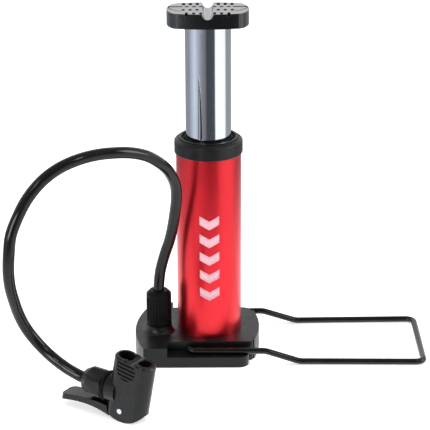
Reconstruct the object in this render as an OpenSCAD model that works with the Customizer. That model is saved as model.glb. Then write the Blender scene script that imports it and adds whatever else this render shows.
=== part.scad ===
// Foot air pump: an upright hand-sized pump pressed with one foot.
// Millimetres.  The origin is on the barrel's axis at the floor, +Z up,
// +X towards the wire foot bracket, -Y towards the side with the chuck.

/* [Base] */
// Height of the base's top plate
base_h = 11.6; // [10.8:0.1:13]
// Height of the two side ledges that the bracket legs rest on
ledge_h = 6.1; // [5:0.1:6.2]
// Wall thickness of the moulding
base_wall = 2.4; // [1.6:0.1:3]
// Distance from the barrel's axis to the base's left edge
base_left = 42; // [41:0.5:46]
// Distance from the barrel's axis to the base's right edge
base_right = 28.3; // [27.5:0.1:32]
// Distance from the barrel's axis to each ledge's outer edge
ledge_y = 33; // [31.5:0.5:36]

/* [Barrel] */
// Outer diameter of the barrel tube
barrel_d = 36; // [36]
// Wall thickness of the barrel tube
barrel_wall = 2; // [2]
// Height of the barrel's top edge
barrel_top = 115.8; // [112:0.2:120]

/* [Plunger] */
// Outer diameter of the plunger tube
tube_d = 25; // [25]
// Wall thickness of the plunger tube
tube_wall = 1.2; // [0.8:0.1:1.6]
// Travel of the plunger
stroke = 62.8; // [58:0.1:62.8]

/* [Pedal] */
// Length of the pedal
pedal_l = 44.5; // [42:0.5:50]
// Depth of the pedal from front to back
pedal_w = 28; // [28]
// Thickness of the pedal
pedal_h = 8.2; // [7.6:0.1:10]
// Radius of the notch that the bracket's end bar locks in
notch_r = 3; // [2.2:0.1:3]

/* [Foot bracket] */
// Diameter of the bracket's wire
wire_d = 3.5; // [3.5]
// Distance from the barrel's axis to the end bar
bar_x = 119.7; // [116:0.1:124]
// Distance from the barrel's axis to each leg at the base
leg_y = 27.6; // [27.6:0.1:28.4]
// Distance from the barrel's axis to each leg at the end bar
leg_end_y = 30; // [29:0.1:32]

/* [Hose] */
// Outer diameter of the hose
hose_d = 6.2; // [6:0.1:6.4]
// Diameter of the hose nut
nut_d = 14.2; // [13.6:0.1:15]
// Height of the hose nut's top
nut_top = 36.5; // [34:0.5:36.5]

/* [Chuck] */
// Length of the chuck body over both ports
chuck_l = 23.6; // [23.6]
// Thickness of the chuck body
chuck_t = 12.2; // [12:0.1:13]
// Height of the chuck's ports above the lever pin
chuck_h = 30; // [29.6:0.1:33]
// Lean of the chuck as it stands on the floor
chuck_lean = 10.8; // [10.8]
// Turn of the chuck about the vertical
chuck_yaw = -32; // [-32]

/* [Hidden] */

$fn = 64;
eps = 0.01;

// Colours
black_plastic = [0.10, 0.10, 0.11];
black_wire = [0.08, 0.08, 0.085];
black_rubber = [0.05, 0.05, 0.055];
anodised_red = [0.80, 0.08, 0.10];
chrome_metal = [0.80, 0.81, 0.83];
plain_metal = [0.68, 0.69, 0.70];
brass_metal = [0.76, 0.62, 0.32];
spring_steel = [0.50, 0.51, 0.53];
acetal = [0.88, 0.88, 0.85];

// Base
wall_front = -23.2;
wall_back = 25.4;
block_inner_front = -23.5;
block_inner_back = -21.5;
block_back = 33.2;
left_arc_r = 80;
left_arc_y = -4.5;
right_arc_r = 75;
right_arc_y = 0.5;
ledge_right = 22;
ledge_corner_r = 6;
body_corner_r = 5;
plate_t = 3;
ledge_t = 2.4;
seat_z = 8.6;
seat_gap = 0.1;
boss_pad_r = 20.5;
screw_circle_r = 10;
screw_r = 1.5;
screw_head_r = 2.9;
screw_head_z = 0.8;
screw_shoulder_z = 3.4;
duct_x = -9;
duct_w = 3;
duct_floor = 3;
duct_roof = 6;
duct_cover_w = 7;

// Barrel and its fixed parts
barrel_r = barrel_d / 2;
bore_r = barrel_r - barrel_wall;
plug_top = 21.6;
spigot_z = barrel_top - 12.8;
collar_r = 18.9;
collar_top = barrel_top + 7.8;
crown_top = barrel_top + 9.3;
bush_r = 14.5;
wiper_r = 15;
fit_gap = 0.04;
slip = 0.03;

// Plunger
tube_r = tube_d / 2;
tube_in_r = tube_r - tube_wall;
pedal_gap = 0.4;
pedal_z = crown_top + pedal_gap + stroke;
pedal_top = pedal_z + pedal_h;
tread_d = 1.3;
deck_t = 2.7;
tube_top = pedal_top - tread_d - deck_t;
pedal_skirt = 2;
socket_r = 13.7;
spigot_l = 12;
bump_t = 2.3;
stop_gap = 0.2;
piston_top = spigot_z - bump_t - stop_gap;
piston_t = 6;
cup_h = 4.6;
washer_t = 1;
seat_t = 1.05;
piston_r = 15.7;
piston_floor = piston_top - piston_t;
cup_floor = piston_floor - cup_h;
washer_floor = cup_floor - washer_t;
seat_top = washer_floor - 0.15;
spring_top = seat_top - seat_t;

// Foot bracket
wire_r = wire_d / 2;
bead_lift = 0.03;
pivot_x = -11;
pivot_z = 8;
pivot_bend_r = 2.4;
bar_bend_r = 4.5;
splay = atan((leg_end_y - leg_y) / (bar_x - pivot_x));
step_x = 38;
step_slope = 18;
step_bend_r = 12;
wire_hole_gap = 0.08;
wire_end_y = 17;
wire_hole_y = 16.5;

// Gland
gland_x = -28.5;
gland_y = -7;
boss_foot_r = 9.6;
boss_neck_r = 7.2;
boss_r = 5.4;
boss_step_z = base_h + 4.4;
boss_top = 24;
boss_lip = 1.4;
ferrule_r = 4.6;
ferrule_h = 3.4;
air_r = 0.9;
valve_floor = 8;
valve_r = 3.2;
ball_r = 2.2;
ball_z = 10;
check_spring_top = 17;
hose_r = hose_d / 2;
barb_r = 1.6;
hose_start_z = 30;
hose_gap = 0.15;

// Chuck, drawn about its lever pin and then leant and turned
port_a_x = -4.15;
port_b_x = port_a_x + chuck_l - chuck_t;
port_r = chuck_t / 2;
bottom_arc_r = 16;
bottom_arc_z = 10.18;
chuck_pos = [-43.71, -94.23, bottom_arc_r - bottom_arc_z * cos(chuck_lean)];
neck_x = -9.88;
neck_z = 8.11;
neck_drop = 8;
sleeve_l = 16.3;
sleeve_r = 8.3;
sleeve_z = 3.6;
sleeve_ring_z = 2.17;
sleeve_ring_r = 7;
sleeve_ring_cord_r = 1.35;
pin_r = 1.5;
pin_foot_r = 2.6;
barb_seat_r = 2.6;
neck_r = 7.6;
neck_end = 0.8;
lever_slot_w = 6.4;
lever_hub_w = 5.8;
lever_w = 11;
lever_tip_x = -37.8;
cheek_r = 8.1;
blade_r = 8.4;
blade_top = -0.3;
trough_r = 8.7;
cam_low_r = 4.1;
cam_high_r = 5.8;
cam_gap = 0.25;
pocket_a_r = 5;
pocket_b_r = 4.6;
mouth_a_r = 4.3;
mouth_b_r = 3.6;
bore_a_r = 4;
bore_b_r = 3.1;
gland_floor = 14.3;
gland_step = 18.5;
gland_top = 27.6;
air_z = 9;
air_wall = 2;
yoke_wall = 2.4;

// Hose route from inside the hose nut to inside the chuck's sleeve
hose_route = [
    [-28.5, -7, 30], [-28.5, -7, 36.5], [-27.5, -7, 47], [-25, -9, 57.5],
    [-22, -12, 67.5], [-20, -15.5, 77], [-18.5, -19.5, 87], [-17.5, -23.5, 97],
    [-18, -28, 106.5], [-21, -34, 115.5], [-25.5, -40.5, 122.5], [-32, -46.5, 128.5],
    [-40, -53, 132.5], [-48.5, -59, 134.5], [-58, -64, 135], [-67.5, -69.5, 134],
    [-76.5, -74, 131], [-84.5, -78.5, 126], [-91.5, -82.5, 118.5], [-96.5, -86, 110],
    [-100.5, -88, 100], [-102, -88, 89.5], [-103, -85, 79], [-103, -81, 69],
    [-102, -76.5, 59.5], [-100.3, -71.5, 49.5], [-97, -68.5, 40], [-91.4, -67.8, 31.3],
    [-84, -70.2, 24.3], [-75.5, -75.3, 19.7], [-67.2, -79.6, 16.8], [-60.5, -83.8, 16.4]];

// ---------------------------------------------------------------- helpers

function unit(v) = v / norm(v);

// Where a circle about a crosses one about b, on the right of the way from a to b
function crossing(a, r_a, b, r_b) =
    let (way = unit(b - a), gap = norm(b - a),
         along = (r_a * r_a - r_b * r_b + gap * gap) / (2 * gap),
         off = sqrt(r_a * r_a - along * along))
    a + along * way + off * [way[1], -way[0]];

// Direction of a route at point i, from its two neighbours
function heading(route, i) =
    unit(route[min(i + 1, len(route) - 1)] - route[max(i - 1, 0)]);

// One ring of a swept tube, square to its path; its zero angle follows a fixed reference
function ring(centre, along, reference, r, sides) =
    let (side = unit(cross(along, reference)), lift = cross(side, along))
    [for (k = [0 : sides - 1])
        let (a = 360 * k / sides)
        centre + r * (cos(a) * side + sin(a) * lift)];

// A closed solid through a list of rings with the same number of points
module skin(rings) {
    sides = len(rings[0]);
    count = len(rings);
    walls = [for (i = [0 : count - 2], k = [0 : sides - 1])
        each [[i * sides + k, i * sides + (k + 1) % sides, (i + 1) * sides + k],
              [i * sides + (k + 1) % sides, (i + 1) * sides + (k + 1) % sides,
               (i + 1) * sides + k]]];
    start_cap = [for (k = [sides - 1 : -1 : 0]) k];
    end_cap = [for (k = [0 : sides - 1]) (count - 1) * sides + k];
    polyhedron(points = [for (r = rings) each r],
        faces = concat(walls, [start_cap, end_cap]), convexity = 10);
}

module tube(r_out, r_in, z0, z1) {
    translate([0, 0, z0]) difference() {
        cylinder(r = r_out, h = z1 - z0);
        translate([0, 0, -1]) cylinder(r = r_in, h = z1 - z0 + 2);
    }
}

module torus(ring_r, cord_r) {
    rotate_extrude() translate([ring_r, 0]) circle(r = cord_r, $fn = 32);
}

// A round rod between two points
module rod(a, b, r) {
    d = b - a;
    turn = atan2(d[1], d[0]);
    tilt = acos(d[2] / norm(d));
    translate(a) rotate([0, tilt, turn]) cylinder(r = r, h = norm(d));
}

// Mirrors its children where a sign is negative
module flipped(sx, sy) {
    mirror([sx < 0 ? 1 : 0, 0]) mirror([0, sy < 0 ? 1 : 0]) children();
}

// The waste outside a rounded corner at (x, y); sx and sy point into the shape
module corner_waste(x, y, r, sx, sy) {
    translate([x, y]) flipped(sx, sy) translate([-1, -1]) difference() {
        square(r + 1);
        translate([r + 1, r + 1]) circle(r = r);
    }
}

// A helix with a changing radius, as a list of rings
function coil_rings(r0, r1, z0, z1, turns, wire, steps, sides) =
    [for (i = [0 : turns * steps])
        let (t = i / (turns * steps), a = 360 * turns * t, r = r0 + (r1 - r0) * t,
             centre = [r * cos(a), r * sin(a), z0 + (z1 - z0) * t],
             along = unit([-sin(a) * r, cos(a) * r, (z1 - z0) / (2 * PI * turns)]))
        ring(centre, along, [cos(a), sin(a), 0], wire, sides)];

// ------------------------------------------------------------------- base

// Plan of the left block, drawn in by a wall thickness where asked
module left_block_plan(inset = 0) {
    difference() {
        intersection() {
            translate([left_arc_r - base_left, left_arc_y])
                circle(r = left_arc_r - inset, $fn = 128);
            union() {
                translate([-base_left - 1, -ledge_y + inset])
                    square([base_left + 1 + block_inner_front, ledge_y - inset]);
                translate([-base_left - 1, -eps])
                    square([base_left + 1 + block_inner_back, block_back - inset + eps]);
            }
        }
        corner_waste(block_left_x(block_back - inset) + inset, block_back - inset,
            body_corner_r, 1, -1);
    }
}

// X of the left arc at a given Y
function block_left_x(y) =
    left_arc_r - base_left - sqrt(left_arc_r * left_arc_r - pow(y - left_arc_y, 2));

// X of the right arc at a given Y
function body_right_x(y) =
    base_right - right_arc_r + sqrt(right_arc_r * right_arc_r - pow(y - right_arc_y, 2));

// Plan of the main body between the two ledges
module main_body_plan(inset = 0) {
    difference() {
        intersection() {
            translate([base_right - right_arc_r, right_arc_y])
                circle(r = right_arc_r - inset, $fn = 128);
            translate([block_inner_front - 2, wall_front + inset])
                square([base_right - block_inner_front + 4, wall_back - wall_front - 2 * inset]);
        }
        corner_waste(body_right_x(wall_back) - inset, wall_back - inset,
            body_corner_r, -1, -1);
        corner_waste(body_right_x(wall_front) - inset, wall_front + inset,
            body_corner_r / 2, -1, 1);
    }
}

// Plan of both ledges as one plate under the main body
module ledge_plan(inset = 0) {
    difference() {
        translate([block_inner_front - 2, -ledge_y + inset])
            square([ledge_right - block_inner_front + 2 - inset, 2 * (ledge_y - inset)]);
        for (side = [-1, 1])
            corner_waste(ledge_right - inset, side * (ledge_y - inset),
                ledge_corner_r, -1, -side);
    }
}

// Round boss that carries the valve and the hose nut
module gland_boss() {
    flare = [for (a = [0 : 15 : 90])
        [boss_foot_r - (boss_foot_r - boss_neck_r) * sin(a), base_h + 3.6 * (1 - cos(a))]];
    translate([gland_x, gland_y]) rotate_extrude()
        polygon(concat([[0, 0], [boss_foot_r, 0]], flare, [[boss_neck_r, boss_step_z],
            [boss_r, boss_step_z], [boss_r, boss_top], [0, boss_top]]));
}

// Direction of the air duct in plan
duct_turn = atan2(gland_y, gland_x - duct_x);
duct_l = norm([gland_x - duct_x, gland_y]);

module along_duct() {
    translate([duct_x, 0]) rotate([0, 0, duct_turn]) children();
}

// Hollow under the top plate and the ledges, around the solid bosses
module underside_hollow() {
    rib_t = 1.6;
    difference() {
        union() {
            translate([0, 0, -1]) linear_extrude(base_h - plate_t + 1) {
                left_block_plan(base_wall);
                main_body_plan(base_wall);
            }
            translate([0, 0, -1]) linear_extrude(ledge_h - ledge_t + 1) ledge_plan(base_wall);
        }
        cylinder(r = boss_pad_r, h = base_h);
        translate([gland_x, gland_y]) cylinder(r = boss_foot_r, h = base_h);
        along_duct() translate([0, -duct_cover_w / 2 - 2, 0])
            cube([duct_l + 6, duct_cover_w + 4, base_h]);
        for (side = [-1, 1])
            translate([pivot_x - 4, side > 0 ? 12 : -12 - 14, 0]) cube([8, 14, base_h]);
        for (x = [-34, -24, 0, 12])
            translate([x - rib_t / 2, -ledge_y, 0]) cube([rib_t, 2 * ledge_y, base_h]);
        for (y = [-25, -12, 12])
            translate([-base_left, y - rib_t / 2, 0])
                cube([base_left + base_right, rib_t, base_h]);
    }
}

module base() {
    color(black_plastic) difference() {
        union() {
            linear_extrude(base_h) {
                left_block_plan();
                main_body_plan();
            }
            linear_extrude(ledge_h) ledge_plan();
            gland_boss();
        }
        underside_hollow();
        // Seat of the barrel and its plug
        translate([0, 0, seat_z]) cylinder(r = barrel_r + seat_gap, h = base_h, $fn = 128);
        // Screw holes up into the barrel's plug
        for (a = [0 : 120 : 240]) rotate([0, 0, a]) translate([screw_circle_r, 0, -1]) {
            cylinder(r = screw_head_r + 0.3, h = screw_shoulder_z + 1);
            cylinder(r = screw_r + 0.2, h = base_h);
        }
        // Air duct and the recess of its cover
        along_duct() {
            translate([0, -duct_w / 2, 0]) cube([duct_l, duct_w, duct_roof]);
            translate([-4, -duct_cover_w / 2, -1]) cube([duct_l + 8, duct_cover_w, duct_floor + 1]);
            translate([0, 0, duct_floor - 1]) cylinder(r = 1.4, h = base_h);
        }
        translate([gland_x, gland_y, 0]) {
            translate([0, 0, duct_floor]) cylinder(r = 1.2, h = base_h);
            translate([0, 0, valve_floor]) cylinder(r = valve_r, h = boss_top);
        }
        // Pivot holes of the foot bracket
        for (side = [-1, 1])
            translate([pivot_x, side * wire_hole_y, pivot_z]) rotate([-90 * side, 0, 0])
                cylinder(r = wire_r + wire_hole_gap, h = 20);
    }
}

module duct_cover() {
    color(black_plastic) along_duct()
        translate([-4 + 0.1, -duct_cover_w / 2 + 0.1, 0.5])
            cube([duct_l + 8 - 0.2, duct_cover_w - 0.2, duct_floor - 0.5]);
}

module base_screws() {
    color(plain_metal) for (a = [0 : 120 : 240])
        rotate([0, 0, a]) translate([screw_circle_r, 0, 0]) difference() {
            union() {
                translate([0, 0, screw_head_z])
                    cylinder(r = screw_head_r, h = screw_shoulder_z - screw_head_z);
                translate([0, 0, screw_head_z]) cylinder(r = screw_r, h = 15);
            }
            for (turn = [0, 90]) rotate([0, 0, turn])
                translate([-1.8, -0.4, 0]) cube([3.6, 0.8, screw_head_z + 1.2]);
        }
}

// ----------------------------------------------------------------- barrel

module barrel() {
    color(anodised_red) tube(barrel_r, bore_r, seat_z, barrel_top, $fn = 128);
}

module barrel_plug() {
    groove_z = 17;
    color(plain_metal) difference() {
        rotate_extrude($fn = 128) polygon([[0, seat_z], [bore_r, seat_z], [bore_r, groove_z - 1.2],
            [14.1, groove_z - 1.2], [14.1, groove_z + 1.2], [bore_r, groove_z + 1.2],
            [bore_r, plug_top], [0, plug_top]]);
        for (a = [0 : 120 : 240]) rotate([0, 0, a])
            translate([screw_circle_r, 0, 0]) cylinder(r = screw_r, h = seat_z + 8);
        translate([duct_x, 0, 0]) cylinder(r = 1.4, h = plug_top + 1);
        translate([duct_x, 0, 0]) cylinder(r = 3.2, h = seat_z + 1.1);
    }
}

module barrel_oring() {
    color(black_rubber) translate([0, 0, 17]) torus(15.05, 0.95);
}

module port_oring() {
    color(black_rubber) translate([duct_x, 0, seat_z + 0.55]) torus(2.55, 0.55);
}

// Threaded ring that closes the barrel and guides the plunger
module collar() {
    color(black_plastic) rotate_extrude($fn = 128) polygon([
        [bush_r, spigot_z], [bore_r, spigot_z], [bore_r, barrel_top],
        [collar_r - 0.4, barrel_top], [collar_r, barrel_top + 0.5],
        [collar_r, collar_top - 0.8], [collar_r - 0.6, collar_top],
        [17.1, collar_top + 0.9], [16.8, collar_top + 0.9], [16.8, crown_top - 1],
        [16.4, crown_top - 1], [16.4, crown_top - 0.1], [15.4, crown_top],
        [wiper_r, crown_top - 0.3], [wiper_r, barrel_top + 5.7], [tube_r + 0.4, barrel_top + 5.7],
        [tube_r + 0.4, barrel_top + 3.7], [bush_r, barrel_top + 3.7]]);
}

module guide_bush() {
    color(acetal)
        tube(bush_r, tube_r + fit_gap, spigot_z, barrel_top + 3.7, $fn = 128);
}

module wiper_ring() {
    z = barrel_top + 5.7;
    color(black_rubber) rotate_extrude($fn = 128) polygon([
        [tube_r + 0.08, z], [wiper_r, z], [wiper_r, z + 2.4], [14.2, z + 2.7],
        [13.4, z + 2.2], [tube_r + 0.5, z + 3.2], [tube_r + 0.08, z + 3.2]]);
}

module bump_ring() {
    color(black_rubber)
        tube(bore_r - 0.3, tube_r + 0.5, spigot_z - bump_t, spigot_z, $fn = 128);
}

// ---------------------------------------------------------------- plunger

// Tapered return spring between the barrel's plug and the spring seat
module return_spring() {
    wire = 0.8;
    color(spring_steel)
        skin(coil_rings(14.2, 7.4, plug_top + wire, spring_top - wire, 7, wire, 18, 8));
}

module spring_seat() {
    color(acetal) tube(9.4, 4.6, spring_top, seat_top);
}

module plunger_tube() {
    color(chrome_metal) tube(tube_r, tube_in_r, piston_top, tube_top, $fn = 128);
}

module piston() {
    color(plain_metal) difference() {
        union() {
            translate([0, 0, piston_floor]) cylinder(r = piston_r, h = piston_t);
            translate([0, 0, piston_floor]) cylinder(r = tube_in_r - slip, h = piston_t + 11);
        }
        // Intake notches past the rim
        for (a = [0 : 90 : 270]) rotate([0, 0, a])
            translate([14.3, -1.5, piston_floor - 1]) cube([3, 3, piston_t + 2]);
        translate([0, 0, piston_floor - 1]) cylinder(r = 2, h = 13);
    }
}

module piston_cup() {
    lip_r = bore_r - 0.05;
    color(black_rubber) rotate_extrude($fn = 128) polygon([
        [2.2, cup_floor], [12.2, cup_floor], [12.6, cup_floor + 1.2], [14.2, cup_floor],
        [lip_r, cup_floor + 0.2], [lip_r, cup_floor + 1.4], [15.2, piston_floor],
        [2.2, piston_floor]]);
}

module cup_washer() {
    color(plain_metal) tube(8.6, 2.2, washer_floor, cup_floor);
}

module piston_screw() {
    color(plain_metal) difference() {
        union() {
            translate([0, 0, washer_floor - 2.6]) cylinder(r = 3.6, h = 2.6);
            translate([0, 0, washer_floor]) cylinder(r = 2, h = 16);
        }
        for (turn = [0, 90]) rotate([0, 0, turn])
            translate([-2.2, -0.5, washer_floor - 3]) cube([4.4, 1, 1.8]);
    }
}

// ------------------------------------------------------------------ pedal

// Plan with bowed sides, round ends and a smooth arc at each corner between them,
// drawn in by a wall thickness where asked
module pedal_plan(inset = 0) {
    side_r = 80;
    end_r = 19.5;
    corner_r = 6;
    // The corner arc is this much larger, so that it crosses the others instead of touching them
    crossing_gap = 0.05;
    side_mid = [0, pedal_w / 2 - side_r];
    end_mid = [pedal_l / 2 - end_r, 0];
    corner = crossing(side_mid, side_r - corner_r, end_mid, end_r - corner_r);
    to_side = 30 * unit(corner - side_mid);
    to_end = 30 * unit(corner - end_mid);
    difference() {
        intersection() {
            intersection_for (sy = [-1, 1]) translate(sy * side_mid)
                circle(r = side_r - inset, $fn = 128);
            for (sx = [-1, 1]) translate(sx * end_mid) circle(r = end_r - inset, $fn = 128);
        }
        for (sx = [-1, 1], sy = [-1, 1]) flipped(sx, sy) translate(corner) difference() {
            polygon([[0, 0], to_end, to_end + to_side, to_side]);
            circle(r = corner_r + crossing_gap - inset);
        }
    }
}

// Slots in staggered columns on both sides of the notch, and a long slot into each end
module tread_slots() {
    inner_x = [3.7, 7.4, 11.3];
    outer_x = [5.7, 9.4, 13.1];
    // Each row: its columns, its middle, its length along the pedal and its depth
    rows = [[outer_x, 9.9, 1.7, 4.6], [inner_x, 4, 1.9, 2.2], [outer_x, -3.2, 1.6, 3.2],
        [inner_x, -11.3, 1.5, 4]];
    end_slot = [9.4, 1.8];
    floor_z = pedal_top - tread_d;
    for (side = [-1, 1]) {
        for (row = rows, x = row[0])
            translate([side * x - row[2] / 2, row[1] - row[3] / 2, floor_z])
                cube([row[2], row[3], tread_d + 1]);
        translate([side > 0 ? 13.6 : -23, rows[1][1] - end_slot[1] / 2, floor_z + 0.3])
            cube([end_slot[0], end_slot[1], tread_d + 1]);
    }
}

// Curved grooves that outline the smooth pads at the pedal's ends
module pad_grooves() {
    for (side = [-1, 1])
        translate([side * 11, 4, pedal_top - 0.8])
            rotate([0, 0, side > 0 ? -76 : 180])
                rotate_extrude(angle = 76, $fn = 96) translate([10, 0]) square([0.7, 2]);
}

// Hollow under the deck, around the tube's socket and two ribs
module pedal_hollow() {
    rib_t = 1.4;
    difference() {
        translate([0, 0, pedal_z - 1])
            linear_extrude(tube_top - pedal_z + 0.4) pedal_plan(pedal_skirt);
        cylinder(r = socket_r, h = pedal_top);
        for (side = [-1, 1])
            translate([side * 17.5 - rib_t / 2, -pedal_w / 2, 0])
                cube([rib_t, pedal_w, pedal_top]);
    }
}

module pedal() {
    color(black_plastic) difference() {
        translate([0, 0, pedal_z]) linear_extrude(pedal_h) pedal_plan();
        pedal_hollow();
        // Socket of the plunger tube
        translate([0, 0, pedal_z - 1])
            cylinder(r = tube_r + slip, h = tube_top - pedal_z + 1, $fn = 128);
        // Notch for the bracket's end bar
        translate([0, pedal_w, pedal_top]) rotate([90, 0, 0])
            cylinder(r = notch_r, h = 2 * pedal_w, $fn = 48);
        tread_slots();
        pad_grooves();
    }
    // Spigot inside the tube
    color(black_plastic)
        tube(tube_in_r - slip, tube_in_r - 1.6, tube_top - spigot_l, tube_top + eps);
}

// ----------------------------------------------------------- foot bracket

// An arc of the wire in a level plane
module flat_bend(centre, bend_r, from, sweep) {
    translate(centre) rotate([0, 0, from])
        rotate_extrude(angle = sweep) translate([bend_r, 0]) circle(r = wire_r, $fn = 32);
}

// A bead that closes the joint of two lengths of wire, hardly thicker than the wire;
// its poles lie along the wire
module joint(p, turn, slope = 0) {
    translate(p) rotate([0, 90 + slope, turn]) sphere(r = wire_r + bead_lift, $fn = 48);
}

// An arc of the wire in the upright plane of a leg
module upright_bend(centre, from, sweep) {
    translate(centre) rotate([90, 0, 0]) flat_bend([0, 0, 0], step_bend_r, from, sweep);
}

// Half of the bracket: pivot end, leg with its step down to the floor, half the end bar
module half_bracket() {
    start = [pivot_x + pivot_bend_r * (1 - sin(splay)), leg_y, pivot_z];
    pivot_bend_y = leg_y - pivot_bend_r * cos(splay);
    leg_l = (bar_x - bar_bend_r - start[0] - bar_bend_r * sin(splay)) / cos(splay);
    bar_bend_y = leg_y + leg_l * sin(splay) - bar_bend_r * cos(splay);
    bar_z = wire_r + bead_lift;
    drop = pivot_z - bar_z;
    arc_x = step_bend_r * sin(step_slope);
    arc_z = step_bend_r * (1 - cos(step_slope));
    ramp_x = (drop - 2 * arc_z) / tan(step_slope);
    ramp_end = step_x + arc_x + ramp_x;
    rod([pivot_x, wire_end_y, pivot_z], [pivot_x, pivot_bend_y, pivot_z], wire_r);
    flat_bend([pivot_x + pivot_bend_r, pivot_bend_y, pivot_z], pivot_bend_r,
        90 + splay, 90 - splay);
    joint([pivot_x, pivot_bend_y, pivot_z], 90);
    joint(start, splay);
    translate(start) rotate([0, 0, splay]) {
        rod([0, 0, 0], [step_x, 0, 0], wire_r);
        for (x = [step_x, ramp_end + arc_x, leg_l]) joint([x, 0, x > step_x ? -drop : 0], 0);
        for (p = [[step_x + arc_x, 0, -arc_z], [ramp_end, 0, arc_z - drop]])
            joint(p, 0, step_slope);
        upright_bend([step_x, 0, -step_bend_r], 90 - step_slope, step_slope);
        rod([step_x + arc_x, 0, -arc_z], [ramp_end, 0, arc_z - drop], wire_r);
        upright_bend([ramp_end + arc_x, 0, step_bend_r - drop], 270 - step_slope, step_slope);
        rod([ramp_end + arc_x, 0, -drop], [leg_l, 0, -drop], wire_r);
        flat_bend([leg_l, -bar_bend_r, -drop], bar_bend_r, -splay, 90 + splay);
    }
    joint([bar_x, bar_bend_y, bar_z], 90);
    rod([bar_x, bar_bend_y, bar_z], [bar_x, 0, bar_z], wire_r);
}

module foot_bracket() {
    color(black_wire) union() {
        half_bracket();
        mirror([0, 1, 0]) half_bracket();
    }
}

// ---------------------------------------------------- check valve and hose

module at_gland() {
    translate([gland_x, gland_y, 0]) children();
}

module check_ball() {
    color(plain_metal) at_gland() translate([0, 0, ball_z]) sphere(r = ball_r, $fn = 48);
}

module check_spring() {
    wire = 0.25;
    color(spring_steel) at_gland()
        skin(coil_rings(1.5, 1.5, ball_z + 1.95, check_spring_top - wire, 5, wire, 14, 6));
}

module hose_barb() {
    color(brass_metal) at_gland() difference() {
        rotate_extrude() polygon([[0, check_spring_top], [valve_r, check_spring_top],
            [valve_r, boss_top], [boss_r - 0.2, boss_top], [boss_r - 0.2, boss_top + boss_lip],
            [barb_r, boss_top + boss_lip], [barb_r + 0.5, boss_top + 2.6],
            [barb_r, boss_top + 4.4], [barb_r, hose_start_z], [0, hose_start_z]]);
        translate([0, 0, check_spring_top - 1]) cylinder(r = air_r, h = 20);
    }
}

module hose_ferrule() {
    color(brass_metal) at_gland() tube(ferrule_r, hose_r, hose_start_z, hose_start_z + ferrule_h);
}

// Ribbed nut that clamps the hose on its barb
module hose_nut() {
    nut_r = nut_d / 2;
    rib_root_r = nut_r - 0.5;
    ribs = 24;
    rib_r = 0.45;
    rib_z0 = boss_step_z + 2;
    rib_z1 = nut_top - 3;
    color(black_plastic) at_gland() difference() {
        union() {
            rotate_extrude() polygon([[0, boss_step_z], [nut_r - 0.2, boss_step_z],
                [nut_r, boss_step_z + 0.4], [nut_r, boss_step_z + 2.4],
                [rib_root_r, boss_step_z + 2.9], [rib_root_r, nut_top - 3.6],
                [nut_r - 0.1, nut_top - 3.2], [nut_r - 0.1, nut_top - 2],
                [nut_r - 2, nut_top], [0, nut_top]]);
            for (k = [0 : ribs - 1]) rotate([0, 0, 360 * k / ribs])
                translate([rib_root_r, 0, rib_z0])
                    cylinder(r = rib_r, h = rib_z1 - rib_z0, $fn = 16);
        }
        translate([0, 0, boss_step_z - 1])
            cylinder(r = boss_r, h = boss_top + boss_lip - boss_step_z + 1);
        translate([0, 0, boss_step_z])
            cylinder(r = ferrule_r, h = hose_start_z + ferrule_h - boss_step_z);
        cylinder(r = hose_r + hose_gap, h = nut_top + 1);
    }
}

module hose() {
    color(black_rubber) skin([for (i = [0 : len(hose_route) - 1])
        ring(hose_route[i], heading(hose_route, i), [0.8, -0.6, 0], hose_r, 12)]);
}

// ------------------------------------------------------------------ chuck

module in_chuck() {
    translate(chuck_pos) rotate([0, chuck_lean, chuck_yaw]) children();
}

// Z runs outwards along the sleeve from the neck
module in_sleeve() {
    in_chuck() translate([neck_x, 0, neck_z]) rotate([0, -90 - neck_drop, 0]) children();
}

// Plan of the body over both ports, drawn in by a wall thickness where asked
module chuck_outline(inset = 0) {
    half = port_r - inset;
    translate([port_a_x, 0]) circle(r = half);
    translate([port_b_x, 0]) circle(r = half);
    translate([port_a_x, -half]) square([port_b_x - port_a_x, 2 * half]);
}

// Level slots in one face of the body, inside a window with a round foot
module slot_window() {
    window_r = 5.8;
    window_x = 0.2;
    window_z = 24.7;
    first_slot_z = 18.6;
    slot_depth = 0.8;
    slot_h = 1.25;
    pitch = 2.2;
    translate([0, -port_r - 1, 0]) intersection() {
        union() for (k = [0 : 4])
            translate([window_x - window_r, 0, first_slot_z + k * pitch])
                cube([2 * window_r, slot_depth + 1, slot_h]);
        rotate([-90, 0, 0]) linear_extrude(slot_depth + 1) union() {
            translate([window_x, -window_z]) circle(r = window_r);
            translate([window_x - window_r, -window_z - 4.5])
                square([2 * window_r - 1.2, 4.5]);
        }
    }
}

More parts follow.
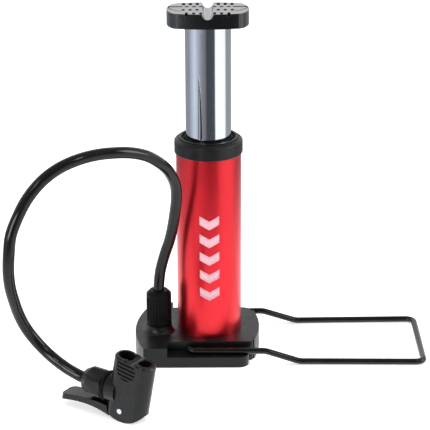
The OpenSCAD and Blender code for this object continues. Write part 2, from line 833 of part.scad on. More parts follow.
module chuck_body() {
    top_chamfer = 0.8;
    color(black_plastic) in_chuck() difference() {
        union() {
            intersection() {
                translate([0, 0, -8]) linear_extrude(chuck_h + 8) chuck_outline();
                rotate([90, 0, 0]) linear_extrude(40, center = true) union() {
                    translate([0, bottom_arc_z]) circle(r = bottom_arc_r, $fn = 128);
                    translate([-20, bottom_arc_z]) square([40, 40]);
                }
            }
            // Neck towards the hose
            translate([neck_x, 0, neck_z]) rotate([0, -90 - neck_drop, 0])
                translate([0, 0, -5.4]) cylinder(r = neck_r, h = 5.4 + neck_end);
        }
        // Rims of the two ports
        for (x = [port_a_x, port_b_x]) translate([x, 0, chuck_h - top_chamfer])
            rotate_extrude() polygon([[port_r, 0], [port_r + 3, 0], [port_r + 3, 2],
                [port_r - top_chamfer, 2], [port_r - top_chamfer, top_chamfer]]);
        // Valley between the two rims
        translate([(port_a_x + port_b_x) / 2, 0, chuck_h + 1.2]) rotate([90, 0, 0])
            cylinder(r = 2.4, h = 20, center = true);
        // Ports: mouth, gland pocket and air space
        for (port = [[port_a_x, pocket_a_r, mouth_a_r], [port_b_x, pocket_b_r, mouth_b_r]])
            translate([port[0], 0, gland_floor]) {
                cylinder(r = port[1], h = gland_top - gland_floor);
                cylinder(r = port[2], h = 30);
            }
        translate([0, 0, air_z]) linear_extrude(gland_floor - air_z + eps) chuck_outline(air_wall);
        // Slot of the lever, open to the left and downwards, and the pusher's well
        rotate([90, 0, 0]) cylinder(r = cam_high_r + 0.5, h = lever_slot_w, center = true);
        translate([-20, -lever_slot_w / 2, -20]) cube([28, lever_slot_w, 20 + blade_top]);
        difference() {
            translate([-20, -port_r - 1, -20]) cube([20, chuck_t + 2, 20 + blade_top]);
            rotate([90, 0, 0]) cylinder(r = cheek_r, h = 2 * chuck_t, center = true);
        }
        translate([-3, -1.6, 0]) cube([6, 3.2, 10]);
        rotate([90, 0, 0]) cylinder(r = pin_r, h = 30, center = true);
        slot_window();
        // Seat of the barb in the neck, and room for the O-ring and the sleeve in front of it
        translate([neck_x, 0, neck_z]) rotate([0, -90 - neck_drop, 0]) {
            translate([0, 0, -6]) cylinder(r = barb_seat_r, h = 10);
            translate([0, 0, neck_end]) cylinder(r = trough_r, h = 10);
        }
    }
}

module chuck_barb() {
    color(brass_metal) in_sleeve() difference() {
        rotate_extrude() polygon([[0, -0.8], [barb_seat_r, -0.8], [barb_seat_r, 2.4], [barb_r, 2.4],
            [barb_r + 0.5, 4], [barb_r, 6], [barb_r, 11.3], [0, 11.3]]);
        translate([0, 0, -2]) cylinder(r = air_r, h = 20);
    }
}

module chuck_oring() {
    color(black_rubber) in_sleeve()
        translate([0, 0, sleeve_ring_z]) torus(sleeve_ring_r, sleeve_ring_cord_r);
}

// Six-sided sleeve with a tapered mouth
module chuck_sleeve() {
    color(black_plastic) in_sleeve() difference() {
        union() {
            translate([0, 0, neck_end])
                cylinder(r = sleeve_ring_r - sleeve_ring_cord_r - 0.05, h = sleeve_z);
            intersection() {
                translate([0, 0, sleeve_z])
                    linear_extrude(sleeve_l - sleeve_z) circle(r = sleeve_r + 0.4, $fn = 6);
                rotate_extrude() polygon([[0, sleeve_z], [sleeve_r - 0.3, sleeve_z],
                    [sleeve_r, sleeve_z + 0.3], [sleeve_r, sleeve_l - 4.5],
                    [5.8, sleeve_l], [0, sleeve_l]]);
            }
        }
        cylinder(r = barb_seat_r, h = 2.4);
        translate([0, 0, 1]) cylinder(r = hose_r + hose_gap, h = sleeve_l);
    }
}

module port_gland(x, pocket_r, bore, step_bore) {
    color(black_rubber) in_chuck() translate([x, 0, 0]) difference() {
        translate([0, 0, gland_floor]) cylinder(r = pocket_r, h = gland_top - gland_floor);
        translate([0, 0, gland_step]) cylinder(r = bore, h = gland_top);
        translate([0, 0, gland_floor - 1]) cylinder(r = step_bore, h = 10);
    }
}

module schrader_gland() {
    port_gland(port_a_x, pocket_a_r, bore_a_r, pin_foot_r);
}

module presta_gland() {
    port_gland(port_b_x, pocket_b_r, bore_b_r, 2.2);
}

// Pin that opens a car-type valve's core
module schrader_pin() {
    color(brass_metal) in_chuck() translate([port_a_x, 0, 0]) {
        translate([0, 0, gland_floor + 1]) cylinder(r = 1, h = gland_step - gland_floor - 1.2);
        translate([0, 0, gland_floor + 1]) difference() {
            cylinder(r = pin_foot_r, h = 1.2);
            for (a = [45 : 90 : 315]) rotate([0, 0, a])
                translate([1.7, 0, -1]) cylinder(r = 0.5, h = 4, $fn = 16);
        }
    }
}

module lever_pin() {
    color(plain_metal) in_chuck() rotate([90, 0, 0])
        cylinder(r = pin_r, h = chuck_t + 0.3, center = true);
}

// Spiral cam round the pin: its radius falls evenly from the high side to the top flat
cam_outline = [for (a = [0 : 5 : 355])
    let (r = a <= 90 ? cam_high_r - (cam_high_r - cam_low_r) * a / 90
            : a <= 180 ? cam_low_r
            : a <= 215 ? cam_low_r + (cam_high_r - cam_low_r) * (a - 180) / 35
            : cam_high_r)
    [r * cos(a), r * sin(a)]];

// Side view of the thumb lever: an arched blade that thins towards its tip
function lever_under_z(x) =
    x > -14.7 ? -5 - 1.07 * pow((x + 14.7) / 10.5, 1.6)
        : -5 - 4.65 * pow((-x - 14.7) / 22.4, 1.9);
function lever_over_z(x) = -0.65 - 5.75 * pow(max(-x - 12, 0) / 25.8, 1.45);
lever_under = [for (x = [-4.2 : -1.68 : lever_tip_x]) [x, lever_under_z(x)]];
lever_over = [for (x = [lever_tip_x : 1.8 : -7]) [x, lever_over_z(x)]];

module lever_side() {
    polygon(concat(lever_under, lever_over, [[-3, -3], [0, -5]]));
}

// Plan of the blade: rounded tip, full width as far as the cheeks
module blade_plan() {
    difference() {
        translate([lever_tip_x, -lever_w / 2]) square([-lever_tip_x, lever_w]);
        for (side = [-1, 1]) corner_waste(lever_tip_x, side * lever_w / 2, 3, 1, -side);
    }
}

module chuck_lever() {
    color(black_plastic) in_chuck() difference() {
        union() {
            rotate([90, 0, 0]) linear_extrude(lever_hub_w, center = true) polygon(cam_outline);
            intersection() {
                rotate([90, 0, 0]) linear_extrude(lever_w + 2, center = true) lever_side();
                union() {
                    translate([-10, -lever_hub_w / 2, -20]) cube([10, lever_hub_w, 40]);
                    difference() {
                        translate([0, 0, -20]) linear_extrude(40) blade_plan();
                        rotate([90, 0, 0]) cylinder(r = blade_r, h = 30, center = true);
                    }
                }
            }
        }
        rotate([90, 0, 0]) cylinder(r = pin_r + 0.08, h = 30, center = true);
        // Trough that clears the sleeve, its O-ring and the neck
        translate([neck_x, 0, neck_z]) rotate([0, -90 - neck_drop, 0])
            translate([0, 0, -4]) cylinder(r = trough_r, h = 40);
    }
}

// Yoke that the cam lifts against both glands
module chuck_pusher() {
    foot_z = cam_low_r + cam_gap;
    color(acetal) in_chuck() difference() {
        union() {
            translate([-1.1, -1.3, foot_z]) cube([2.2, 2.6, 6]);
            translate([0, 0, air_z + 0.6]) linear_extrude(2.6) chuck_outline(yoke_wall);
        }
        for (x = [port_a_x, port_b_x]) translate([x, 0, 0]) cylinder(r = 1.5, h = 20);
    }
}

// ------------------------------------------------------------------ nodes

base();
duct_cover();
base_screws();
barrel();
barrel_plug();
barrel_oring();
port_oring();
collar();
guide_bush();
wiper_ring();
bump_ring();
return_spring();
spring_seat();
plunger_tube();
pedal();
piston();
piston_cup();
cup_washer();
piston_screw();
foot_bracket();
check_ball();
check_spring();
hose_barb();
hose_ferrule();
hose_nut();
hose();
chuck_body();
chuck_barb();
chuck_oring();
chuck_sleeve();
schrader_gland();
presta_gland();
schrader_pin();
lever_pin();
chuck_lever();
chuck_pusher();
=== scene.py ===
"""The looks of a foot air pump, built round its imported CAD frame.

Everything is in metres, in the CAD frame: the barrel's axis is Z, the floor is z = 0,
+X points towards the wire foot bracket and -Y towards the chuck on its hose.
"""

import math

import bpy
from mathutils import Matrix, Vector


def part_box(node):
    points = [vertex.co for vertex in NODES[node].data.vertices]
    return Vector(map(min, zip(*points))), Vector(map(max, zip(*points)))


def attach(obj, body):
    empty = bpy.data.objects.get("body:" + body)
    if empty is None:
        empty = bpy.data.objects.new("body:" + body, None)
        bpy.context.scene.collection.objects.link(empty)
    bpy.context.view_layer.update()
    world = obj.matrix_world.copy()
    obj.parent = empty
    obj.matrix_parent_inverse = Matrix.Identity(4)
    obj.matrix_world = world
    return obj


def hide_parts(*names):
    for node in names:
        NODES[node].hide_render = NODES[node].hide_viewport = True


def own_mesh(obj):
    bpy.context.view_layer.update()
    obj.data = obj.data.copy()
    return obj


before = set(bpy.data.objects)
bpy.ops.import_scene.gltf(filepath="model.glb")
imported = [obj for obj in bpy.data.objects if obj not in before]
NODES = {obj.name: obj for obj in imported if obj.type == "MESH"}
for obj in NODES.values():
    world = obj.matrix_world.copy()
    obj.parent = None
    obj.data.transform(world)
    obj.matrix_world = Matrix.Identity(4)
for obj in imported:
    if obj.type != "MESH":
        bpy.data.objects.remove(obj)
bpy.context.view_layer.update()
SCENE = bpy.context.scene
MM = 0.001

# Camera
CAMERA_PLACE = (0.0043, -0.950, 0.427)
CAMERA_PITCH = math.radians(20.15)
CAMERA_YAW = math.radians(-0.054)
CAMERA_ROLL = math.radians(-0.26)
CAMERA_LENS = 151.6
SENSOR = 36

# Hose
HOSE_D = 6.2 * MM
HOSE_SIDES = 28
HOSE_STEPS = 8
HOSE_ROUTE = [
    (-28.5, -7, 30), (-28.5, -7, 36.5), (-27.5, -7, 47), (-25, -9, 57.5),
    (-22, -12, 67.5), (-20, -15.5, 77), (-18.5, -19.5, 87), (-17.5, -23.5, 97),
    (-18, -28, 106.5), (-21, -34, 115.5), (-25.5, -40.5, 122.5), (-32, -46.5, 128.5),
    (-40, -53, 132.5), (-48.5, -59, 134.5), (-58, -64, 135), (-67.5, -69.5, 134),
    (-76.5, -74, 131), (-84.5, -78.5, 126), (-91.5, -82.5, 118.5), (-96.5, -86, 110),
    (-100.5, -88, 100), (-102, -88, 89.5), (-103, -85, 79), (-103, -81, 69),
    (-102, -76.5, 59.5), (-100.3, -71.5, 49.5), (-97, -68.5, 40), (-91.4, -67.8, 31.3),
    (-84, -70.2, 24.3), (-75.5, -75.3, 19.7), (-67.2, -79.6, 16.8), (-60.5, -83.8, 16.4),
]

# Springs: the radius of the wire, and of the coil at its foot and head
RETURN_WIRE_R = 0.8 * MM
RETURN_COIL_R = (14.2 * MM, 7.4 * MM)
RETURN_TURNS = 7
CHECK_WIRE_R = 0.25 * MM
CHECK_COIL_R = (1.5 * MM, 1.5 * MM)
CHECK_TURNS = 5

# Rounded edges, in millimetres
BEVEL_ANGLE = math.radians(32)
FLAT_ANGLE = math.radians(0.4)
EDGE_WIDTHS = {
    "base": 0.45, "collar": 0.25, "pedal": 0.35, "hose_nut": 0.12, "chuck_body": 0.12,
    "chuck_sleeve": 0.3, "chuck_lever": 0.35, "barrel": 0.2, "plunger_tube": 0.1,
    "lever_pin": 0.25, "schrader_pin": 0.1, "schrader_gland": 0.2, "presta_gland": 0.2,
    "guide_bush": 0.1, "wiper_ring": 0.1, "base_screws": 0.12, "duct_cover": 0.15,
    "chuck_pusher": 0.15, "hose_ferrule": 0.1,
}
FINE_EDGE = 0.12
FINE_EDGE_NODES = [
    "barrel_plug", "bump_ring", "spring_seat", "piston", "piston_cup", "cup_washer",
    "piston_screw", "hose_barb", "chuck_barb",
]
ROUND_NODES = ["foot_bracket", "barrel_oring", "port_oring", "chuck_oring", "check_ball"]
# A flat face with many slots shades unevenly once its triangles are merged
SLOTTED_NODES = ("chuck_body", "pedal")

# Print on the barrel
MARK_COUNT = 5
MARK_FOOT = 34 * MM
MARK_PITCH = 10.5 * MM
MARK_W = 11 * MM
MARK_H = 5 * MM
MARK_SLOPE = 0.55
MARK_OFFSET = 0.3 * MM
MARK_STEPS = 6
MARK_LIFT = 0.03 * MM
MARK_DEPTH = 0.05 * MM

# Studio lights: name, place, size and watts; all of them face LIGHT_AIM
LIGHT_AIM = (0, 0, 0.08)
LIGHTS = [
    ("top", (0.0, 0.15, 1.5), (1.2, 1.0), 12),
    ("right", (1.1, -0.16, 0.55), (0.4, 0.8), 6),
    ("left", (-0.64, -0.85, 0.24), (0.5, 0.5), 6),
    ("front_left", (-0.46, -0.79, 1.02), (0.22, 0.22), 1.5),
    ("front_right", (0.59, -0.70, 1.02), (0.22, 0.22), 1.5),
]
# The floor's own light; the mirrored patch of floor's near and far radius, and its sides
FLOOR_GLOW = 0.5
NEAR_FLOOR = (0.14, 0.34, 64)
# Heights on the unit sphere over which walls turn into sky, and sky into ceiling
SKY_FOOT = (-0.02, 0.04)
CEILING_FOOT = (0.45, 0.95)
ROOM_CEILING = (0.30, 0.31, 0.33)
# Colours round the room: degrees from the camera's side (-Y) towards +X, and a colour
SKY_BANDS = [
    (-180, (1.1, 1.1, 1.12)), (-110, (1.1, 1.1, 1.12)), (-70, (0.20, 0.21, 0.23)),
    (-20, (0.08, 0.08, 0.09)), (20, (0.08, 0.08, 0.09)), (70, (0.20, 0.21, 0.23)),
    (110, (1.1, 1.1, 1.12)), (180, (1.1, 1.1, 1.12)),
]
WALL_BANDS = [
    (-180, (0.33, 0.34, 0.36)), (-112, (0.30, 0.32, 0.36)), (-100, (0.42, 0.46, 0.54)),
    (-71, (0.72, 0.80, 0.96)), (-45, (0.40, 0.42, 0.48)), (-30, (0.26, 0.26, 0.29)),
    (-14, (0.20, 0.20, 0.22)), (-6, (0.065, 0.075, 0.09)), (20, (0.07, 0.085, 0.10)),
    (33, (0.09, 0.11, 0.13)), (38, (1.3, 1.35, 1.4)), (93, (1.2, 1.25, 1.3)),
    (101, (0.36, 0.38, 0.40)), (180, (0.33, 0.34, 0.36)),
]


# ------------------------------------------------------------------ camera


def make_camera():
    data = bpy.data.cameras.new("camera")
    data.sensor_width = SENSOR
    data.lens = CAMERA_LENS
    data.clip_start = 0.01
    data.clip_end = 50
    camera = bpy.data.objects.new("camera", data)
    SCENE.collection.objects.link(camera)
    ahead = Vector((
        math.sin(CAMERA_YAW) * math.cos(CAMERA_PITCH),
        math.cos(CAMERA_YAW) * math.cos(CAMERA_PITCH),
        -math.sin(CAMERA_PITCH),
    ))
    level = Vector((math.cos(CAMERA_YAW), -math.sin(CAMERA_YAW), 0))
    lift = level.cross(ahead)
    right = math.cos(CAMERA_ROLL) * level + math.sin(CAMERA_ROLL) * lift
    up = -math.sin(CAMERA_ROLL) * level + math.cos(CAMERA_ROLL) * lift
    turn = Matrix((right, up, -ahead)).transposed().to_4x4()
    camera.matrix_world = Matrix.Translation(CAMERA_PLACE) @ turn
    SCENE.camera = camera


# ------------------------------------------------------------ mesh helpers


def add_piece(name, points, faces, body, uvs=None):
    """A smooth mesh object that rides on a body; uvs holds one pair per face corner."""
    mesh = bpy.data.meshes.new(name)
    mesh.from_pydata(points, [], faces)
    if uvs:
        layer = mesh.uv_layers.new(name="sweep")
        for loop, uv in zip(layer.data, uvs):
            loop.uv = uv
    for face in mesh.polygons:
        face.use_smooth = True
    piece = bpy.data.objects.new(name, mesh)
    SCENE.collection.objects.link(piece)
    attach(piece, body)
    return piece


def smooth_line(points, steps):
    """A curve through all the points, each span cut into a number of steps."""
    ends = [2 * points[0] - points[1], *points, 2 * points[-1] - points[-2]]
    line = []
    for a, b, c, d in zip(ends, ends[1:], ends[2:], ends[3:]):
        for k in range(steps):
            t = k / steps
            line.append(0.5 * (
                2 * b + (c - a) * t + (2 * a - 5 * b + 4 * c - d) * t ** 2
                + (3 * b - a - 3 * c + d) * t ** 3
            ))
    return [*line, points[-1]]


def sweep(name, line, radius, sides, body):
    """A round closed tube along a line, with U round it and V along it in metres."""
    points, faces, uvs, along = [], [], [], [0.0]
    side = Vector((0.8, -0.6, 0))  # any direction that the line does not start along
    for i, centre in enumerate(line):
        ahead = (line[min(i + 1, len(line) - 1)] - line[max(i - 1, 0)]).normalized()
        side = (side - side.dot(ahead) * ahead).normalized()
        lift = ahead.cross(side)
        for k in range(sides):
            a = math.tau * k / sides
            points.append(centre + radius * (math.cos(a) * side + math.sin(a) * lift))
        if i:
            along.append(along[-1] + (centre - line[i - 1]).length)
    for i in range(len(line) - 1):
        for k in range(sides):
            j = (k + 1) % sides
            faces.append((i * sides + k, i * sides + j, (i + 1) * sides + j, (i + 1) * sides + k))
            u0, u1 = k / sides, (k + 1) / sides
            uvs += [(u0, along[i]), (u1, along[i]), (u1, along[i + 1]), (u0, along[i + 1])]
    last = (len(line) - 1) * sides
    faces += [tuple(reversed(range(sides))), tuple(range(last, last + sides))]
    uvs += [(0, 0)] * (2 * sides)
    return add_piece(name, points, faces, body, uvs)


def soften(node, width, segments=3, whole_faces=True):
    """Rounds a CAD node's sharp edges as a mould or a tumbler leaves them."""
    part = NODES[node]
    clean(part, whole_faces)
    bevel = part.modifiers.new("bevel", "BEVEL")
    bevel.width = width
    bevel.segments = segments
    bevel.limit_method = "ANGLE"
    bevel.angle_limit = BEVEL_ANGLE
    bevel.harden_normals = True
    bevel.miter_outer = "MITER_ARC"


def clean(part, whole_faces=True):
    """Joins a CAD node's patches into one smooth skin; whole_faces merges its triangles."""
    if part.data.attributes.get("custom_normal"):
        part.data.attributes.remove(part.data.attributes["custom_normal"])
    for face in part.data.polygons:
        face.use_smooth = True
    weld = part.modifiers.new("weld", "WELD")
    weld.merge_threshold = 0.002 * MM
    if whole_faces:
        flat = part.modifiers.new("flat", "DECIMATE")
        flat.decimate_type = "DISSOLVE"
        flat.angle_limit = FLAT_ANGLE


# --------------------------------------------------------------- materials


class Recipe:
    """A material whose nodes are added one at a time, in object space."""

    def __init__(self, name, **surface):
        self.material = bpy.data.materials.new(name)
        self.material.use_nodes = True
        self.nodes = self.material.node_tree.nodes
        self.links = self.material.node_tree.links
        self.shader = self.nodes["Principled BSDF"]
        for socket, value in surface.items():
            self.shader.inputs[socket.replace("_", " ")].default_value = value
        self.place = self.nodes.new("ShaderNodeTexCoord").outputs["Object"]
        self.height = None

    def put(self, kind, inputs=None, **settings):
        node = self.nodes.new("ShaderNode" + kind)
        for name, value in settings.items():
            setattr(node, name, value)
        for key, value in (inputs or {}).items():
            if isinstance(value, bpy.types.NodeSocket):
                self.links.new(value, node.inputs[key])
            else:
                node.inputs[key].default_value = value
        return node

    def noise(self, scale, detail, stretch=(1, 1, 1)):
        place = self.put("Mapping", {"Vector": self.place, "Scale": stretch}).outputs[0]
        node = self.put(
            "TexNoise", {"Vector": place, "Scale": scale, "Detail": detail, "Roughness": 0.55}
        )
        return node.outputs["Fac"]

    def ramp(self, value, low, high, out_low=0.0, out_high=1.0):
        node = self.put("MapRange", {
            "Value": value, "From Min": low, "From Max": high,
            "To Min": out_low, "To Max": out_high,
        })
        return node.outputs["Result"]

    def multiply(self, a, b):
        return self.put("Math", {0: a, 1: b}, operation="MULTIPLY").outputs[0]

    def mix(self, factor, a, b):
        node = self.put("Mix", {"Factor": factor}, data_type="RGBA")
        for key, value in (("A", a), ("B", b)):
            socket = [s for s in node.inputs if s.name == key and s.type == "RGBA"][0]
            if isinstance(value, bpy.types.NodeSocket):
                self.links.new(value, socket)
            else:
                socket.default_value = value
        return node.outputs[2]

    def edges(self, radius):
        """1 on sharp edges and 0 on flat ground."""
        bent = self.put("Bevel", {"Radius": radius}, samples=4).outputs[0]
        true = self.put("NewGeometry").outputs["Normal"]
        near = self.put("VectorMath", {0: bent, 1: true}, operation="DOT_PRODUCT")
        return self.ramp(near.outputs["Value"], 0.995, 0.9)

    def colour(self, socket):
        self.links.new(socket, self.shader.inputs["Base Color"])

    def rough(self, socket):
        self.links.new(socket, self.shader.inputs["Roughness"])

    def bump(self, height, depth):
        inputs = {"Height": height, "Distance": depth, "Strength": 1.0}
        if self.height is not None:
            inputs["Normal"] = self.height
        self.height = self.put("Bump", inputs).outputs[0]
        self.links.new(self.height, self.shader.inputs["Normal"])


def grey(v, tint=0.0):
    return (v, v * (1 + tint / 2), v * (1 + tint), 1)


def moulded(name, shade, rough, tint=0.06, coat=0.0):
    """Black moulded plastic: spark-eroded grain, faint flow marks, rubbed edges."""
    m = Recipe(name, IOR=1.5, Specular_IOR_Level=0.3, Coat_Weight=coat, Coat_Roughness=0.15)
    flow = m.noise(60, 4)
    base = m.mix(m.ramp(flow, 0.35, 0.65), grey(shade * 0.85, tint), grey(shade * 1.15, tint))
    scuffs = m.multiply(m.edges(0.5 * MM), m.ramp(m.noise(500, 2), 0.4, 0.7))
    m.colour(m.mix(scuffs, base, grey(shade * 1.9, tint)))
    m.rough(m.ramp(m.noise(240, 3), 0.3, 0.7, rough - 0.05, rough + 0.07))
    m.bump(m.noise(2600, 2), 0.006 * MM)
    return m.material


def anodised_red():
    """Red anodised tube with the fine long grain of drawn aluminium."""
    m = Recipe(
        "anodised_red", Metallic=1.0, Anisotropic=0.35, Coat_Weight=0.45, Coat_Roughness=0.25
    )
    drift = m.noise(35, 3, (1, 1, 0.25))
    m.colour(m.mix(m.ramp(drift, 0.3, 0.7), (0.74, 0.014, 0.024, 1), (0.83, 0.021, 0.033, 1)))
    grain = m.noise(1500, 2, (1, 1, 0.03))
    m.rough(m.ramp(grain, 0.3, 0.7, 0.32, 0.37))
    m.bump(grain, 0.002 * MM)
    return m.material


def chrome():
    """Chromed steel, with faint long polishing lines and a thin oil film."""
    m = Recipe("chrome", Metallic=1.0)
    film = m.noise(45, 3, (1, 1, 0.5))
    m.colour(m.mix(m.ramp(film, 0.35, 0.65), (0.74, 0.75, 0.77, 1), (0.82, 0.83, 0.85, 1)))
    lines = m.noise(2600, 2, (1, 1, 0.02))
    m.rough(m.ramp(lines, 0.35, 0.65, 0.05, 0.11))
    m.bump(lines, 0.0006 * MM)
    return m.material


def metal(name, colour, rough):
    """Plain turned or pressed metal with fine random marks and duller patches."""
    m = Recipe(name, Metallic=1.0)
    dull = tuple(c * 0.8 for c in colour[:3]) + (1,)
    m.colour(m.mix(m.ramp(m.noise(160, 4), 0.35, 0.7), colour, dull))
    m.rough(m.ramp(m.noise(420, 3), 0.3, 0.7, rough - 0.06, rough + 0.1))
    m.bump(m.noise(900, 3), 0.002 * MM)
    return m.material


def black_wire():
    """Stoved black paint on steel wire, with a little orange peel."""
    m = Recipe("black_wire", IOR=1.5, Specular_IOR_Level=0.4)
    m.colour(m.mix(m.ramp(m.noise(90, 3), 0.35, 0.65), grey(0.003), grey(0.006)))
    m.rough(m.ramp(m.noise(300, 2), 0.3, 0.7, 0.10, 0.17))
    m.bump(m.noise(700, 2), 0.006 * MM)
    return m.material


def rubber(name, shade, rough):
    """Black rubber or soft plastic, with a dusty bloom and a matt skin."""
    m = Recipe(name, IOR=1.5, Specular_IOR_Level=0.08, Sheen_Weight=0.005, Sheen_Roughness=0.4)
    m.colour(m.mix(m.ramp(m.noise(120, 4), 0.35, 0.7), grey(shade), grey(shade * 1.5)))
    m.rough(m.ramp(m.noise(350, 3), 0.3, 0.7, rough - 0.05, rough + 0.08))
    m.bump(m.noise(1600, 3), 0.005 * MM)
    return m.material


def hose_rubber():
    """Extruded hose: glossy skin with faint lines along its length."""
    m = Recipe("hose_rubber", IOR=1.5, Specular_IOR_Level=0.3)
    m.colour(m.mix(m.ramp(m.noise(80, 3), 0.35, 0.65), grey(0.004), grey(0.007)))
    m.rough(m.ramp(m.noise(260, 3), 0.3, 0.7, 0.10, 0.16))
    skin = m.put("TexCoord").outputs["UV"]
    place = m.put("Mapping", {"Vector": skin, "Scale": (60, 25, 1)}).outputs[0]
    lines = m.put("TexNoise", {"Vector": place, "Scale": 1.0, "Detail": 2.0}).outputs["Fac"]
    m.bump(lines, 0.012 * MM)
    m.bump(m.noise(900, 2), 0.004 * MM)
    return m.material


def acetal():
    """Milky white bearing plastic."""
    m = Recipe("acetal", IOR=1.48, Subsurface_Weight=0.1)
    m.colour(m.mix(m.ramp(m.noise(150, 3), 0.35, 0.65), grey(0.62, -0.08), grey(0.70, -0.06)))
    m.rough(m.ramp(m.noise(300, 2), 0.3, 0.7, 0.32, 0.42))
    m.bump(m.noise(900, 2), 0.003 * MM)
    return m.material


def print_white():
    """Screen print on the barrel, thin enough for the red to tint it."""
    m = Recipe("print_white", IOR=1.5)
    blot = m.ramp(m.noise(700, 4), 0.35, 0.65)
    m.colour(m.mix(blot, (0.72, 0.38, 0.44, 1), (0.78, 0.45, 0.50, 1)))
    m.rough(m.ramp(m.noise(400, 2), 0.3, 0.7, 0.4, 0.5))
    m.bump(m.noise(1200, 2), 0.003 * MM)
    return m.material


def dress(material, *names):
    """Gives a material to CAD nodes or pieces."""
    for name in names:
        data = bpy.data.objects[name].data
        data.materials.clear()
        data.materials.append(material)


# ------------------------------------------------------------------ pieces


def make_hose():
    """The hose from the base's nut to the chuck's sleeve, with the chuck on its end."""
    line = smooth_line([Vector(p) * MM for p in HOSE_ROUTE], HOSE_STEPS)
    hose = sweep("hose_tube", line, HOSE_D / 2, HOSE_SIDES, "root")
    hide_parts("hose")


def make_marks():
    """A column of plain chevrons printed down the barrel, wrapped round its skin."""
    low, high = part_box("barrel")
    r = (high.x - low.x) / 2 + MARK_LIFT
    points, faces = [], []
    for k in range(MARK_COUNT):
        tip = MARK_FOOT + k * MARK_PITCH
        for i in range(2 * MARK_STEPS + 1):
            across = MARK_W / 2 * (i / MARK_STEPS - 1)
            rise = abs(across) * MARK_SLOPE
            a = (across + MARK_OFFSET) / r
            for z in (tip + rise, tip + rise + MARK_H):
                points.append((r * math.sin(a), -r * math.cos(a), z))
            if i:
                last = len(points)
                faces.append((last - 4, last - 2, last - 1, last - 3))
    marks = add_piece("barrel_marks", points, faces, "root")
    depth = marks.modifiers.new("depth", "SOLIDIFY")
    depth.thickness = MARK_DEPTH
    depth.offset = -1


def helix(low, high, r_low, r_high, turns, centre=(0, 0), steps=40):
    """Points of a coil whose radius changes evenly from its foot to its head."""
    line = []
    for i in range(int(turns * steps) + 1):
        t = i / (turns * steps)
        r = r_low + (r_high - r_low) * t
        a = math.tau * turns * t
        line.append(Vector((
            centre[0] + r * math.cos(a), centre[1] + r * math.sin(a), low + (high - low) * t
        )))
    return line


def make_springs():
    """Both coils, each swept as a helix through its CAD spring's box, which is hidden."""
    low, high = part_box("return_spring")
    wire = RETURN_WIRE_R
    coil = helix(low.z + wire, high.z - wire, *RETURN_COIL_R, RETURN_TURNS)
    spring = sweep("return_spring_coil", coil, wire, 10, "root")
    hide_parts("return_spring")
    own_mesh(spring)
    low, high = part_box("check_spring")
    wire = CHECK_WIRE_R
    middle = ((low.x + high.x) / 2, (low.y + high.y) / 2)
    coil = helix(low.z + wire, high.z - wire, *CHECK_COIL_R, CHECK_TURNS, middle, 24)
    small = sweep("check_spring_coil", coil, wire, 8, "root")
    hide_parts("check_spring")
    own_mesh(small)


# ------------------------------------------------------------------- stage


def seen_by(thing, camera=False, diffuse=False, glossy=False, shadow=False):
    """Limits which rays meet a stage object."""
    thing.visible_camera = camera
    thing.visible_diffuse = diffuse
    thing.visible_glossy = glossy
    thing.visible_transmission = False
    thing.visible_shadow = shadow


def stage_sheet(name, corners, faces, material):
    """A flat or bent sheet that belongs to the studio, not to the pump."""
    mesh = bpy.data.meshes.new(name)
    mesh.from_pydata(corners, [], faces)
    mesh.materials.append(material)
    sheet = bpy.data.objects.new(name, mesh)
    SCENE.collection.objects.link(sheet)
    return sheet


def make_floor():
    """A pale floor that glows a little, as a lit studio sweep does."""
    size = 6
    corners = [(-size, -size, 0), (size, -size, 0), (size, size, 0), (-size, size, 0)]
    m = Recipe("floor", Specular_IOR_Level=0, Emission_Strength=FLOOR_GLOW)
    m.shader.inputs["Emission Color"].default_value = (1, 1, 1, 1)
    m.colour(m.mix(m.ramp(m.noise(3, 2), 0.3, 0.7), grey(0.88), grey(0.90)))
    m.rough(m.ramp(m.noise(5, 2), 0.3, 0.7, 0.6, 0.7))
    floor = stage_sheet("floor", corners, [(0, 1, 2, 3)], m.material)
    seen_by(floor, camera=True, diffuse=True, shadow=True)


def make_near_floor():
    """The patch of floor that the pump mirrors, fading out into the room's walls."""
    near, far, sides = NEAR_FLOOR
    corners = [(far * math.cos(math.tau * k / sides), far * math.sin(math.tau * k / sides), 0)
               for k in range(sides)]
    m = Recipe("near_floor", Specular_IOR_Level=0, Emission_Strength=FLOOR_GLOW)
    m.shader.inputs["Emission Color"].default_value = (1, 1, 1, 1)
    m.colour(m.mix(m.noise(3, 2), grey(0.88), grey(0.90)))
    away = m.put("VectorMath", {0: m.place}, operation="LENGTH").outputs["Value"]
    m.links.new(m.ramp(away, near, far, 1, 0), m.shader.inputs["Alpha"])
    patch = stage_sheet("near_floor", corners, [tuple(range(sides))], m.material)
    seen_by(patch, glossy=True)


def make_backdrop():
    """A white wall all round, far off, for the camera alone."""
    r, high, sides = 5.5, 6, 48
    corners, faces = [], []
    for k in range(sides):
        a = math.tau * k / sides
        corners += [(r * math.cos(a), r * math.sin(a), z) for z in (-0.1, high)]
        faces.append((2 * k, 2 * k + 1, (2 * k + 3) % (2 * sides), (2 * k + 2) % (2 * sides)))
    m = Recipe("backdrop", Emission_Strength=1.1)
    m.shader.inputs["Emission Color"].default_value = (1, 1, 1, 1)
    m.colour(m.mix(m.noise(2, 1), grey(0.9), grey(0.95)))
    seen_by(stage_sheet("backdrop", corners, faces, m.material), camera=True)


def add_light(name, place, size, power):
    data = bpy.data.lights.new(name, "AREA")
    data.shape = "RECTANGLE"
    data.size, data.size_y = size
    data.energy = power
    light = bpy.data.objects.new(name, data)
    light.location = place
    aim = Vector(LIGHT_AIM) - Vector(place)
    light.rotation_euler = aim.to_track_quat("-Z", "Y").to_euler()
    SCENE.collection.objects.link(light)


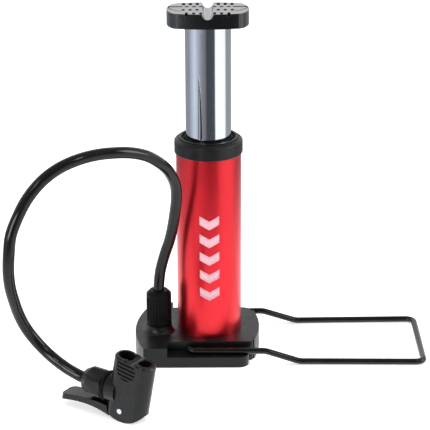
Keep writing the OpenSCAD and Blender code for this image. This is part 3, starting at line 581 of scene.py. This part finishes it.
def make_world():
    """Studio surroundings: walls below the horizon, sky above it, and the ceiling."""
    world = bpy.data.worlds.new("studio")
    world.use_nodes = True
    nodes, links = world.node_tree.nodes, world.node_tree.links
    ray = nodes.new("ShaderNodeTexCoord").outputs["Generated"]
    turn = nodes.new("ShaderNodeMapping")
    turn.inputs["Rotation"].default_value = (0, 0, math.radians(90))
    links.new(ray, turn.inputs["Vector"])
    around = nodes.new("ShaderNodeTexGradient")
    around.gradient_type = "RADIAL"
    links.new(turn.outputs[0], around.inputs["Vector"])
    split = nodes.new("ShaderNodeSeparateXYZ")
    links.new(ray, split.inputs[0])

    def bands(table):
        ramp = nodes.new("ShaderNodeValToRGB")
        stops = ramp.color_ramp.elements
        while len(stops) < len(table):
            stops.new(1)
        for stop, (degrees, colour) in zip(stops, table):
            stop.position = 0.5 + degrees / 360
            stop.color = (*colour, 1)
        links.new(around.outputs["Fac"], ramp.inputs["Fac"])
        return ramp.outputs["Color"]

    def above(foot, low, high):
        rise = nodes.new("ShaderNodeMapRange")
        rise.inputs["From Min"].default_value, rise.inputs["From Max"].default_value = foot
        links.new(split.outputs["Z"], rise.inputs["Value"])
        blend = nodes.new("ShaderNodeMix")
        blend.data_type = "RGBA"
        links.new(rise.outputs[0], blend.inputs["Factor"])
        for socket, colour in zip([s for s in blend.inputs if s.type == "RGBA"], (low, high)):
            if isinstance(colour, bpy.types.NodeSocket):
                links.new(colour, socket)
            else:
                socket.default_value = (*colour, 1)
        return blend.outputs[2]

    sky = above(CEILING_FOOT, bands(SKY_BANDS), ROOM_CEILING)
    links.new(above(SKY_FOOT, bands(WALL_BANDS), sky), nodes["Background"].inputs["Color"])
    SCENE.world = world


def make_lights():
    for name, place, size, power in LIGHTS:
        add_light(name, place, size, power)
    SCENE.objects["top"].visible_glossy = False


# ----------------------------------------------------------------- the build

make_camera()
make_hose()
make_springs()
make_marks()

for node, width in EDGE_WIDTHS.items():
    soften(node, width * MM, whole_faces=node not in SLOTTED_NODES)
for node in FINE_EDGE_NODES:
    soften(node, FINE_EDGE * MM, 2)
for node in ROUND_NODES:
    clean(NODES[node])

black = moulded("black_plastic", 0.006, 0.36)
chuck_black = moulded("chuck_plastic", 0.006, 0.30)
soft_black = rubber("black_rubber", 0.003, 0.5)
steel = metal("zinc_steel", (0.72, 0.73, 0.75, 1), 0.24)
brass = metal("brass", (0.80, 0.60, 0.28, 1), 0.26)
aluminium = metal("bare_aluminium", (0.72, 0.72, 0.73, 1), 0.32)
spring_wire = metal("spring_steel", (0.45, 0.46, 0.48, 1), 0.3)
white = acetal()
dress(black, "base", "duct_cover", "collar")
dress(rubber("nut_plastic", 0.004, 0.4), "hose_nut")
dress(moulded("pedal_plastic", 0.004, 0.22, tint=0.2, coat=1.0), "pedal")
dress(chuck_black, "chuck_body", "chuck_sleeve", "chuck_lever")
dress(anodised_red(), "barrel")
dress(print_white(), "barrel_marks")
dress(chrome(), "plunger_tube")
dress(black_wire(), "foot_bracket")
dress(hose_rubber(), "hose_tube")
dress(soft_black, "barrel_oring", "port_oring", "wiper_ring", "bump_ring", "piston_cup",
      "chuck_oring", "schrader_gland", "presta_gland")
dress(steel, "base_screws", "cup_washer", "piston_screw", "check_ball", "lever_pin")
dress(brass, "hose_barb", "hose_ferrule", "chuck_barb", "schrader_pin")
dress(aluminium, "barrel_plug", "piston")
dress(spring_wire, "return_spring_coil", "check_spring_coil")
dress(white, "guide_bush", "spring_seat", "chuck_pusher")

make_floor()
make_near_floor()
make_backdrop()
make_world()
make_lights()
SCENE.view_settings.view_transform = "Standard"
